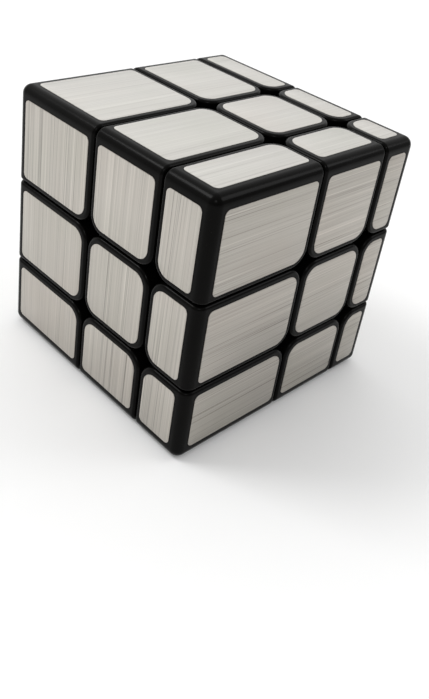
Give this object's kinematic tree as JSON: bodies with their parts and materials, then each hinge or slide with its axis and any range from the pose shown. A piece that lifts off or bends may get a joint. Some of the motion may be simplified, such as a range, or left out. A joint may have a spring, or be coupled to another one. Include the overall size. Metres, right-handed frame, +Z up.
{
  "type": "mirror block cube",
  "caption": "Twisting cube puzzle with silver-faced blocks of unequal depth: every face turns, and the blocks then stand out at different heights.",
  "frame": {"origin": "middle of the bottom face of the solved cube, on the surface it rests on", "axes": "+Z up; the front face (the thickest layer) looks to -Y, the right face to +X; the core's middle, where every turning axis meets, is at (6, 9, 26.25) mm"},
  "size_m": [0.057, 0.057, 0.057],
  "materials": {
    "black_plastic": "satin moulded ABS",
    "brushed_foil": "brushed silver foil, fine straight lines",
    "core_plastic": "moulded nylon",
    "steel": "zinc plated"
  },
  "bodies": {
    "core": {"core": "core_plastic", "tension_screws": "steel", "tension_springs": "steel", "spring_washers": "steel"},
    "center_right": {"center_right_base": "black_plastic", "center_right_cap": "brushed_foil"},
    "center_left": {"center_left_base": "black_plastic", "center_left_cap": "brushed_foil"},
    "center_back": {"center_back_base": "black_plastic", "center_back_cap": "brushed_foil"},
    "center_front": {"center_front_base": "black_plastic", "center_front_cap": "brushed_foil"},
    "center_top": {"center_top_base": "black_plastic", "center_top_cap": "brushed_foil"},
    "center_bottom": {"center_bottom_base": "black_plastic", "center_bottom_cap": "brushed_foil"},
    "edge_right_back": {"edge_right_back_body": "black_plastic", "edge_right_back_foils": "brushed_foil"},
    "edge_right_front": {"edge_right_front_body": "black_plastic", "edge_right_front_foils": "brushed_foil"},
    "edge_right_top": {"edge_right_top_body": "black_plastic", "edge_right_top_foils": "brushed_foil"},
    "edge_right_bottom": {"edge_right_bottom_body": "black_plastic", "edge_right_bottom_foils": "brushed_foil"},
    "edge_left_back": {"edge_left_back_body": "black_plastic", "edge_left_back_foils": "brushed_foil"},
    "edge_left_front": {"edge_left_front_body": "black_plastic", "edge_left_front_foils": "brushed_foil"},
    "edge_left_top": {"edge_left_top_body": "black_plastic", "edge_left_top_foils": "brushed_foil"},
    "edge_left_bottom": {"edge_left_bottom_body": "black_plastic", "edge_left_bottom_foils": "brushed_foil"},
    "edge_back_top": {"edge_back_top_body": "black_plastic", "edge_back_top_foils": "brushed_foil"},
    "edge_back_bottom": {"edge_back_bottom_body": "black_plastic", "edge_back_bottom_foils": "brushed_foil"},
    "edge_front_top": {"edge_front_top_body": "black_plastic", "edge_front_top_foils": "brushed_foil"},
    "edge_front_bottom": {"edge_front_bottom_body": "black_plastic", "edge_front_bottom_foils": "brushed_foil"},
    "corner_right_back_top": {"corner_right_back_top_body": "black_plastic", "corner_right_back_top_foils": "brushed_foil"},
    "corner_right_back_bottom": {"corner_right_back_bottom_body": "black_plastic", "corner_right_back_bottom_foils": "brushed_foil"},
    "corner_right_front_top": {"corner_right_front_top_body": "black_plastic", "corner_right_front_top_foils": "brushed_foil"},
    "corner_right_front_bottom": {"corner_right_front_bottom_body": "black_plastic", "corner_right_front_bottom_foils": "brushed_foil"},
    "corner_left_back_top": {"corner_left_back_top_body": "black_plastic", "corner_left_back_top_foils": "brushed_foil"},
    "corner_left_back_bottom": {"corner_left_back_bottom_body": "black_plastic", "corner_left_back_bottom_foils": "brushed_foil"},
    "corner_left_front_top": {"corner_left_front_top_body": "black_plastic", "corner_left_front_top_foils": "brushed_foil"},
    "corner_left_front_bottom": {"corner_left_front_bottom_body": "black_plastic", "corner_left_front_bottom_foils": "brushed_foil"}
  },
  "joints": [
    {"name": "turn_right", "type": "hinge", "parent": "core", "child": "center_right", "pos_m": [0.006, 0.009, 0.02625], "axis": [1, 0, 0], "continuous": true},
    {"name": "turn_left", "type": "hinge", "parent": "core", "child": "center_left", "pos_m": [0.006, 0.009, 0.02625], "axis": [-1, 0, 0], "continuous": true},
    {"name": "turn_back", "type": "hinge", "parent": "core", "child": "center_back", "pos_m": [0.006, 0.009, 0.02625], "axis": [0, 1, 0], "continuous": true},
    {"name": "turn_front", "type": "hinge", "parent": "core", "child": "center_front", "pos_m": [0.006, 0.009, 0.02625], "axis": [0, -1, 0], "continuous": true},
    {"name": "turn_top", "type": "hinge", "parent": "core", "child": "center_top", "pos_m": [0.006, 0.009, 0.02625], "axis": [0, 0, 1], "continuous": true},
    {"name": "turn_bottom", "type": "hinge", "parent": "core", "child": "center_bottom", "pos_m": [0.006, 0.009, 0.02625], "axis": [0, 0, -1], "continuous": true},
    {"name": "edge_right_back_with_back", "type": "hinge", "parent": "center_right", "child": "edge_right_back", "pos_m": [0.006, 0.009, 0.02625], "axis": [0, 1, 0], "continuous": true},
    {"name": "edge_right_front_with_front", "type": "hinge", "parent": "center_right", "child": "edge_right_front", "pos_m": [0.006, 0.009, 0.02625], "axis": [0, -1, 0], "continuous": true},
    {"name": "edge_right_top_with_top", "type": "hinge", "parent": "center_right", "child": "edge_right_top", "pos_m": [0.006, 0.009, 0.02625], "axis": [0, 0, 1], "continuous": true},
    {"name": "edge_right_bottom_with_bottom", "type": "hinge", "parent": "center_right", "child": "edge_right_bottom", "pos_m": [0.006, 0.009, 0.02625], "axis": [0, 0, -1], "continuous": true},
    {"name": "edge_left_back_with_left", "type": "hinge", "parent": "center_back", "child": "edge_left_back", "pos_m": [0.006, 0.009, 0.02625], "axis": [-1, 0, 0], "continuous": true},
    {"name": "edge_left_front_with_left", "type": "hinge", "parent": "center_front", "child": "edge_left_front", "pos_m": [0.006, 0.009, 0.02625], "axis": [-1, 0, 0], "continuous": true},
    {"name": "edge_left_top_with_left", "type": "hinge", "parent": "center_top", "child": "edge_left_top", "pos_m": [0.006, 0.009, 0.02625], "axis": [-1, 0, 0], "continuous": true},
    {"name": "edge_left_bottom_with_left", "type": "hinge", "parent": "center_bottom", "child": "edge_left_bottom", "pos_m": [0.006, 0.009, 0.02625], "axis": [-1, 0, 0], "continuous": true},
    {"name": "edge_back_top_with_top", "type": "hinge", "parent": "center_back", "child": "edge_back_top", "pos_m": [0.006, 0.009, 0.02625], "axis": [0, 0, 1], "continuous": true},
    {"name": "edge_back_bottom_with_back", "type": "hinge", "parent": "center_bottom", "child": "edge_back_bottom", "pos_m": [0.006, 0.009, 0.02625], "axis": [0, 1, 0], "continuous": true},
    {"name": "edge_front_top_with_front", "type": "hinge", "parent": "center_top", "child": "edge_front_top", "pos_m": [0.006, 0.009, 0.02625], "axis": [0, -1, 0], "continuous": true},
    {"name": "edge_front_bottom_with_bottom", "type": "hinge", "parent": "center_front", "child": "edge_front_bottom", "pos_m": [0.006, 0.009, 0.02625], "axis": [0, 0, -1], "continuous": true},
    {"name": "corner_right_back_top_with_top", "type": "hinge", "parent": "edge_right_back", "child": "corner_right_back_top", "pos_m": [0.006, 0.009, 0.02625], "axis": [0, 0, 1], "continuous": true},
    {"name": "corner_right_back_bottom_with_bottom", "type": "hinge", "parent": "edge_right_back", "child": "corner_right_back_bottom", "pos_m": [0.006, 0.009, 0.02625], "axis": [0, 0, -1], "continuous": true},
    {"name": "corner_right_front_top_with_top", "type": "hinge", "parent": "edge_right_front", "child": "corner_right_front_top", "pos_m": [0.006, 0.009, 0.02625], "axis": [0, 0, 1], "continuous": true},
    {"name": "corner_right_front_bottom_with_bottom", "type": "hinge", "parent": "edge_right_front", "child": "corner_right_front_bottom", "pos_m": [0.006, 0.009, 0.02625], "axis": [0, 0, -1], "continuous": true},
    {"name": "corner_left_back_top_with_top", "type": "hinge", "parent": "edge_left_back", "child": "corner_left_back_top", "pos_m": [0.006, 0.009, 0.02625], "axis": [0, 0, 1], "continuous": true},
    {"name": "corner_left_back_bottom_with_bottom", "type": "hinge", "parent": "edge_left_back", "child": "corner_left_back_bottom", "pos_m": [0.006, 0.009, 0.02625], "axis": [0, 0, -1], "continuous": true},
    {"name": "corner_left_front_top_with_top", "type": "hinge", "parent": "edge_left_front", "child": "corner_left_front_top", "pos_m": [0.006, 0.009, 0.02625], "axis": [0, 0, 1], "continuous": true},
    {"name": "corner_left_front_bottom_with_bottom", "type": "hinge", "parent": "edge_left_front", "child": "corner_left_front_bottom", "pos_m": [0.006, 0.009, 0.02625], "axis": [0, 0, -1], "continuous": true}
  ],
  "couplings": [
    {"joint": "edge_right_back_with_back", "follows": "turn_back", "ratio": 1},
    {"joint": "edge_right_front_with_front", "follows": "turn_front", "ratio": 1},
    {"joint": "edge_right_top_with_top", "follows": "turn_top", "ratio": 1},
    {"joint": "edge_right_bottom_with_bottom", "follows": "turn_bottom", "ratio": 1},
    {"joint": "edge_left_back_with_left", "follows": "turn_left", "ratio": 1},
    {"joint": "edge_left_front_with_left", "follows": "turn_left", "ratio": 1},
    {"joint": "edge_left_top_with_left", "follows": "turn_left", "ratio": 1},
    {"joint": "edge_left_bottom_with_left", "follows": "turn_left", "ratio": 1},
    {"joint": "edge_back_top_with_top", "follows": "turn_top", "ratio": 1},
    {"joint": "edge_back_bottom_with_back", "follows": "turn_back", "ratio": 1},
    {"joint": "edge_front_top_with_front", "follows": "turn_front", "ratio": 1},
    {"joint": "edge_front_bottom_with_bottom", "follows": "turn_bottom", "ratio": 1},
    {"joint": "corner_right_back_top_with_top", "follows": "turn_top", "ratio": 1},
    {"joint": "corner_right_back_bottom_with_bottom", "follows": "turn_bottom", "ratio": 1},
    {"joint": "corner_right_front_top_with_top", "follows": "turn_top", "ratio": 1},
    {"joint": "corner_right_front_bottom_with_bottom", "follows": "turn_bottom", "ratio": 1},
    {"joint": "corner_left_back_top_with_top", "follows": "turn_top", "ratio": 1},
    {"joint": "corner_left_back_bottom_with_bottom", "follows": "turn_bottom", "ratio": 1},
    {"joint": "corner_left_front_top_with_top", "follows": "turn_top", "ratio": 1},
    {"joint": "corner_left_front_bottom_with_bottom", "follows": "turn_bottom", "ratio": 1}
  ]
}
